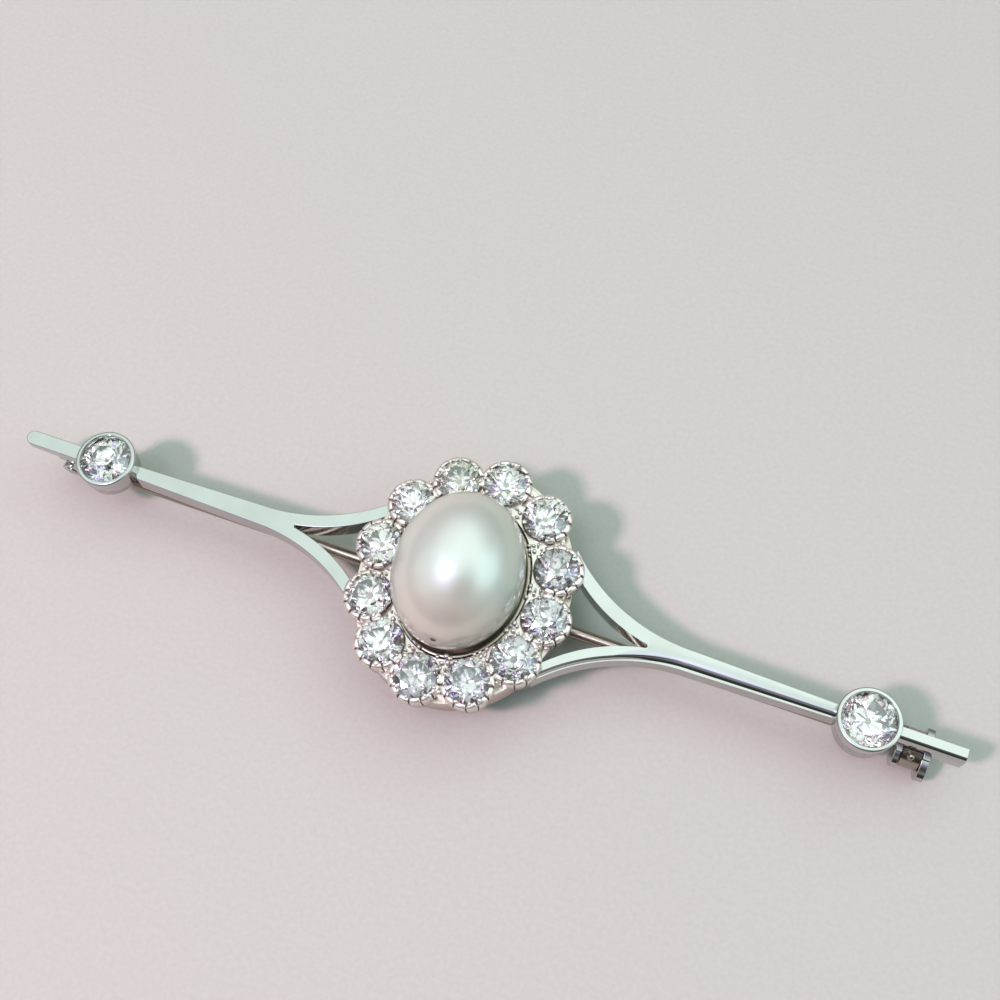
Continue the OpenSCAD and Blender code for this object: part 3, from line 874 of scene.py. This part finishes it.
def makeBeads(size):
    grow("settingBeads", pointMesh("beadPoints", beadPlaces(size)), beadTree(size["stretch"]),
         {"Radius": size["radius"], "Seed": size["seed"], "Material": platinum})


makeBeads(beads)
print("beads made")


# The pearl's own collet and seat

pearlCollet = {
    "x": -0.42, "y": 0.1, "halfWidth": 4.4, "halfHeight": 5.5, "turn": 4.0, "base": 2.6, "rim": 5.0,
    "seatTop": 4.0, "seatDepth": 0.5, "seatInset": 0.224, "sides": 144, "seatSides": 96,
    # parts of the wall's section, as steps outwards and up: its foot from the base, its lip from the rim
    "footOutside": ((-0.05, 0.0), (0.0, 0.1)), "footInside": ((-0.28, 0.0),),
    "lip": ((0.0, -0.3), (0.02, -0.12), (-0.01, -0.03), (-0.08, 0.0),
            (-0.2, 0.0), (-0.29, -0.04), (-0.33, -0.12), (-0.28, -0.3)),
}


def ovalPath(size, count, inset=0.0):
    # places round the collet's oval, each with the direction that points away from the pearl
    a, b = size["halfWidth"] - inset, size["halfHeight"] - inset
    turned = Matrix.Rotation(radians(size["turn"]), 3, "Z")
    centre = Vector((size["x"], size["y"], 0))
    path = []
    for i in range(count):
        t = 2 * pi * i / count
        place = turned @ Vector((a * cos(t), b * sin(t), 0)) + centre
        path.append((place, (turned @ Vector((b * cos(t), a * sin(t), 0))).normalized()))
    return path


def makePearlCollet(size):
    profile = offsets(0, size["base"], size["footOutside"]) + offsets(0, size["rim"], size["lip"])
    profile += offsets(0, size["base"], size["footInside"])
    makeMount("pearlCollet", sweepLoop(ovalPath(size, size["sides"]), profile), bareGold, sharpAngle=40)
    outline = [(p.x, p.y) for p, _ in ovalPath(size, size["seatSides"], inset=size["seatInset"])]
    makeMount("pearlSeat", plate(outline, size["seatTop"] - size["seatDepth"], size["seatTop"]), platinum)


makePearlCollet(pearlCollet)


pearlShape = {
    "centre": (-0.5, 0.0, 6.6), "halfSize": (4.24, 5.26, 4.3), "turn": 4.0, "flatZ": 4.03,
    "rings": 72, "sides": 128,
    # grown, not turned: the oval swells and dips by these shares
    "swell": 0.004, "swellTurn": 1.1, "dip": 0.003,
    "pit": (-0.19, -5.14, 7.48), "pitDepth": 0.09, "pitRadius": 0.3,
}


def pearlPoint(size, rise, turn):
    a, b, c = size["halfSize"]
    level = cos(rise)
    spot = Vector((a * level * cos(turn), b * level * sin(turn), c * sin(rise)))
    uneven = size["swell"] * sin(2 * turn + size["swellTurn"]) - size["dip"] * sin(3 * turn)
    spot *= 1 + uneven * level
    return Matrix.Rotation(radians(size["turn"]), 3, "Z") @ spot + Vector(size["centre"])


def makePearl(size):
    bm = bmesh.new()
    low = asin((size["flatZ"] - size["centre"][2]) / size["halfSize"][2])
    rings = []
    for j in range(size["rings"] + 1):
        rise = low + (pi / 2 - low) * j / size["rings"]
        count = size["sides"] if j < size["rings"] else 1   # the last one is the top
        turns = [2 * pi * i / size["sides"] for i in range(count)]
        rings.append([bm.verts.new(pearlPoint(size, rise, turn)) for turn in turns])
    bm.faces.new(rings[0][::-1])
    skin(bm, rings)
    for v in bm.verts:
        near = (v.co - Vector(size["pit"])).length / size["pitRadius"]
        if near < 1:
            v.co -= (v.co - Vector(size["centre"])).normalized() * size["pitDepth"] * (1 - near ** 2)
    makePiece("pearlButton", bm, creamNacre(nacre, size["pit"]), "brooch", "pearl", ["pearl"], sharpAngle=60)


makePearl(pearlShape)
print("pearl set")


# Old-cut diamonds, each one cut a little differently

oldCut = {
    # shares of the diameter: radii of the facets' corners, then the depths
    "table": 0.26, "star": 0.385, "lower": 0.19, "culet": 0.06,
    "crown": 0.17, "girdle": 0.03, "pavilion": 0.43,
    # how far one stone differs from the next
    "tableSpread": 0.045, "depthSpread": 0.035, "roundSpread": 0.02, "facetSpread": 0.07, "starStray": 0.6,
    "culetRange": (0.5, 1.4), "crownRange": (-0.5, 0.5), "pavilionRange": (-1, 0.4), "seed": 21,
    # the stones that aren't white
    "tinged": {4: creamDiamond, **dict.fromkeys((0, 1, 9, 10, 11), greyDiamond)},
}


def diamondMesh(diameter, cut, rng):
    # crown and pavilion facets round an eight-sided table; the girdle is at height 0
    tableR = (cut["table"] + rng.uniform(-1, 1) * cut["tableSpread"]) * diameter
    starR, girdleR, lowerR = cut["star"] * diameter, diameter / 2, cut["lower"] * diameter
    culetR = cut["culet"] * diameter * rng.uniform(*cut["culetRange"])
    edge = cut["girdle"] * diameter / 2
    half = pi / 8
    crown = (cut["crown"] + rng.uniform(*cut["crownRange"]) * cut["depthSpread"]) * diameter
    pavilion = (cut["pavilion"] + rng.uniform(*cut["pavilionRange"]) * cut["depthSpread"]) * diameter
    crownSlope = crown / (girdleR - tableR)
    pavilionSlope = pavilion / (girdleR - culetR * cos(half))
    starZ = edge + crownSlope * (girdleR - starR * cos(half))
    lowerZ = -edge - pavilionSlope * (girdleR - lowerR * cos(half))
    bm = bmesh.new()

    def ring(count, radius, height, start=0.0, spread=0.0):
        # spread lets each corner of the facets stray a little, as on stones cut by eye
        corners = []
        for i in range(count):
            t = start + 2 * pi * i / count + rng.uniform(-1, 1) * spread
            r = radius * (1 + rng.uniform(-1, 1) * spread)
            corners.append(bm.verts.new((r * cos(t), r * sin(t), height)))
        return corners

    stray = cut["facetSpread"]
    table = ring(8, tableR, edge + crown, 0, stray)
    star = ring(8, starR, starZ, half, stray * cut["starStray"])
    upper = ring(16, girdleR, edge)
    lower = ring(16, girdleR, -edge)
    belly = ring(8, lowerR, lowerZ, half, stray)
    culet = ring(8, culetR, -edge - pavilion, half, stray)
    bm.faces.new(table)
    bm.faces.new(culet[::-1])
    for i in range(8):
        after, nextMain = (i + 1) % 8, (2 * i + 2) % 16
        bm.faces.new([table[i], star[i], table[after]])
        bm.faces.new([table[i], star[i - 1], upper[2 * i], star[i]])
        bm.faces.new([star[i], upper[2 * i], upper[2 * i + 1]])
        bm.faces.new([star[i], upper[2 * i + 1], upper[nextMain]])
        bm.faces.new([belly[i], lower[2 * i + 1], lower[2 * i]])
        bm.faces.new([belly[i], lower[nextMain], lower[2 * i + 1]])
        bm.faces.new([culet[i - 1], culet[i], belly[i], lower[2 * i], belly[i - 1]])
    skin(bm, [upper, lower])
    squeeze = 1 - rng.uniform(0, 1) * cut["roundSpread"]
    spin = Matrix.Rotation(rng.uniform(0, pi / 4), 4, "Z")
    return placed(bm, spin @ Matrix.Diagonal((1, squeeze, 1, 1)))


def makeDiamonds(cut):
    rng = random.Random(cut["seed"])
    for k in range(halo["count"]):
        stone = placed(diamondMesh(halo["stone"], cut, rng), seatMatrix(k))
        glass = cut["tinged"].get(k, whiteDiamond)
        makePiece("haloDiamond%02d" % (k + 1), stone, glass, "brooch", "diamond",
                  ["halo_diamond_%02d" % (k + 1)], sharpAngle=None)
    for side, word in ((-1, "left"), (1, "right")):
        place = Matrix.Translation((side * endCollet["x"], 0, endCollet["girdleZ"]))
        stone = placed(diamondMesh(endCollet["stone"], cut, rng), place)
        makePiece("endDiamond" + word.capitalize(), stone, whiteDiamond, "brooch", "diamond",
                  ["end_diamond_" + word], sharpAngle=None)


makeDiamonds(oldCut)
print("diamonds set")


# Pin, hinge and catch under the bar

pin = {
    "z": 1.6, "pivotX": -30.15, "diameter": 0.86, "tipDiameter": 0.56, "sides": 40,
    "eyeRadius": 0.62, "eyeHalfWidth": 0.3, "eyeSoft": 0.06, "rivetHole": 0.29, "eyeSides": 56,
    # radius and place along X, at the shaft's start and at its point
    "start": (0.4085, -29.75), "point": ((0.21, 30.6), (0.05, 31.13), (0.0, 31.15)),
    # places along X where the wire is full and where it is thin, with a taper between the two
    "full": (-29.15, -26.7, -10.0, 5.0), "thin": (28.0, 30.0),
    # hammered flat beside the eye up to the first place, round wire again from the second
    "flatEnd": -27.4, "roundFrom": -26.2, "longEdge": 2.0, "longCuts": 6,
}

turnToX = Matrix(((0, 0, 1, 0), (0, 1, 0, 0), (-1, 0, 0, 0), (0, 0, 0, 1)))   # a lathe's Z axis becomes X
turnToY = Matrix(((1, 0, 0, 0), (0, 0, 1, 0), (0, -1, 0, 0), (0, 0, 0, 1)))   # its Z axis becomes Y


def makePin(size):
    r, tipR = size["diameter"] / 2, size["tipDiameter"] / 2
    profile = [(0, size["start"][1]), size["start"]] + [(r, x) for x in size["full"]]
    profile += [(tipR, x) for x in size["thin"]] + list(size["point"])
    shaft = lathe(profile, size["sides"])
    lengthwise = [e for e in shaft.edges if abs(e.verts[0].co.z - e.verts[1].co.z) > size["longEdge"]]
    bmesh.ops.subdivide_edges(shaft, edges=lengthwise, cuts=size["longCuts"])
    placed(shaft, Matrix.Translation((0, 0, size["z"])) @ turnToX)
    w = size["eyeHalfWidth"]
    for v in shaft.verts:
        flat = 1 - share(v.co.x, size["flatEnd"], size["roundFrom"])
        limit = w * flat + r * (1 - flat)
        v.co.y = max(-limit, min(limit, v.co.y))
    hole, rim, soft = size["rivetHole"], size["eyeRadius"], size["eyeSoft"]
    outside = [(rim - soft, -w), (rim, -w + soft), (rim, w - soft), (rim - soft, w)]
    eye = lathe([(hole, -w)] + outside + [(hole, w)], size["eyeSides"], closed=True)
    placed(eye, Matrix.Translation((size["pivotX"], 0, size["z"])) @ turnToY)
    makePiece("pinStem", joinInto(shaft, eye), bareGold, "pin", "pin_metal", ["pin_stem"], sharpAngle=40)


makePin(pin)


hinge = {
    "cheekInner": 0.33, "cheekOuter": 0.7, "cheekTop": 2.8, "cheekRight": 0.8, "lobe": 0.7, "lobeSteps": 25,
    "footLeft": -28.7, "footRight": -27.2, "chamfer": 0.2,
    "bridgeHalf": 0.45, "bridgeBottom": 2.6, "bridgeTop": 3.35, "edgeRound": 0.05,
    # half of the rivet: radius, distance from the cheek's outer face
    "rivetHead": ((0, 0.14), (0.222, 0.13), (0.37, 0.05), (0.37, 0.02), (0.25, 0.02)), "rivetSides": 40,
}


def makeHinge(size):
    pivotX, pivotZ = pin["pivotX"], pin["z"]
    left, right, chamfer = size["footLeft"], size["footRight"], size["chamfer"]
    outline = [(pivotX + size["cheekRight"], size["cheekTop"])]
    outline += arc((pivotX, pivotZ), size["lobe"], 75, 270, size["lobeSteps"])
    outline += [(left - chamfer, pivotZ - size["lobe"]), (left, 2 * chamfer), (left + chamfer, 0),
                (right - chamfer, 0), (right, 2 * chamfer), (right, size["cheekTop"])]
    bridge = box(pivotX - size["lobe"], right, -size["bridgeHalf"], size["bridgeHalf"])
    bracket = plate(bridge, size["bridgeBottom"], size["bridgeTop"])
    for side in (-1, 1):
        low, high = sorted((side * size["cheekInner"], side * size["cheekOuter"]))
        joinInto(bracket, placed(plate([(x, -z) for x, z in outline], low, high), turnToY))
    makeMount("hingeBracket", bracket, whiteGold, edgeRound=size["edgeRound"])
    half = offsets(0, size["cheekOuter"], size["rivetHead"])
    rivet = lathe(half + [(radius, -y) for radius, y in reversed(half)], size["rivetSides"])
    placed(rivet, Matrix.Translation((pivotX, 0, pivotZ)) @ turnToY)
    makePiece("hingeRivet", rivet, whiteGold, "brooch", "white_metal", ["hinge_rivet"], sharpAngle=40)


makeHinge(hinge)
print("pin and hinge made")


catch = {   # spans are from and to along X
    "front": (30.7, 31.2), "frontRadius": 1.87, "frontFar": 1.5, "back": (29.0, 29.4), "backRadius": 1.5,
    "flangeTop": 2.5, "shoulder": 0.75, "shoulderTop": 2.75, "edgeRound": 0.05,
    "drum": (29.45, 30.65), "drumRadius": 1.3, "journal": (28.97, 31.27), "journalRadius": 0.8,
    "bore": 0.52, "slot": 0.96, "gap": 0.04, "sink": 0.02, "drumRound": 0.04, "rimSteps": 72,
    "knobX": 29.95, "knobAngle": 35.0, "knobSides": 28,
    # the knob's ball starts below its middle and ends beside its top; the neck is radius and reach
    "ball": {"centre": (0, 1.5), "radius": 0.26, "start": -50, "end": 80, "count": 14},
    "neck": ((0, 1.1), (0.16, 1.1), (0.16, 1.3)), "knobTop": 1.76,
}


def slottedDisc(span, outer, bore, slot, low=-inf, high=inf, far=inf):
    # a disc with a bore and a slot that opens downwards, cut flat at low and far and pressed down to high
    start, inner = (degrees(asin(slot / 2 / radius)) for radius in (outer, bore))
    squash = min(1.0, high / outer)
    steps = catch["rimSteps"]
    rim = [(min(far, y), max(low, z if z < 0 else z * squash))
           for y, z in arc((0, 0), outer, -90 + start, 270 - start, steps)]
    disc = plate(rim + arc((0, 0), bore, 270 - inner, -90 + inner, steps // 2), span[0], span[1])
    # the outline's first axis becomes Y and its second Z
    return placed(disc, Matrix(((0, 0, 1, 0), (1, 0, 0, 0), (0, 1, 0, pin["z"]), (0, 0, 0, 1))))


def makeCatch(size):
    hole, slot, sink = size["journalRadius"] + size["gap"], size["slot"], size["sink"]
    low, high = -pin["z"], size["flangeTop"] - pin["z"]
    flanges = slottedDisc(size["front"], size["frontRadius"], hole, slot, low, high, size["frontFar"])
    joinInto(flanges, slottedDisc(size["back"], size["backRadius"], hole, slot, low, high))
    for x0, x1 in (size["front"], size["back"]):
        shoulder = box(x0, x1, -size["shoulder"], size["shoulder"])
        joinInto(flanges, plate(shoulder, size["flangeTop"] - sink, size["shoulderTop"]))
    makeMount("catchFlanges", flanges, whiteGold, edgeRound=size["edgeRound"])
    drum, journal = size["drum"], size["journal"]
    barrel = slottedDisc(drum, size["drumRadius"], size["bore"], slot)
    for span in ((journal[0], drum[0] + sink), (drum[1] - sink, journal[1])):
        joinInto(barrel, slottedDisc(span, size["journalRadius"], size["bore"], slot))
    knob = lathe(list(size["neck"]) + arc(**size["ball"]) + [(0, size["knobTop"])], size["knobSides"])
    lean = Matrix.Rotation(radians(size["knobAngle"]), 4, "X")
    joinInto(barrel, placed(knob, Matrix.Translation((size["knobX"], 0, pin["z"])) @ lean))
    makePiece("catchBarrel", barrel, bareGold, "barrel", "white_metal", ["catch_barrel"],
              edgeRound=size["drumRound"])


makeCatch(catch)
print("catch made")
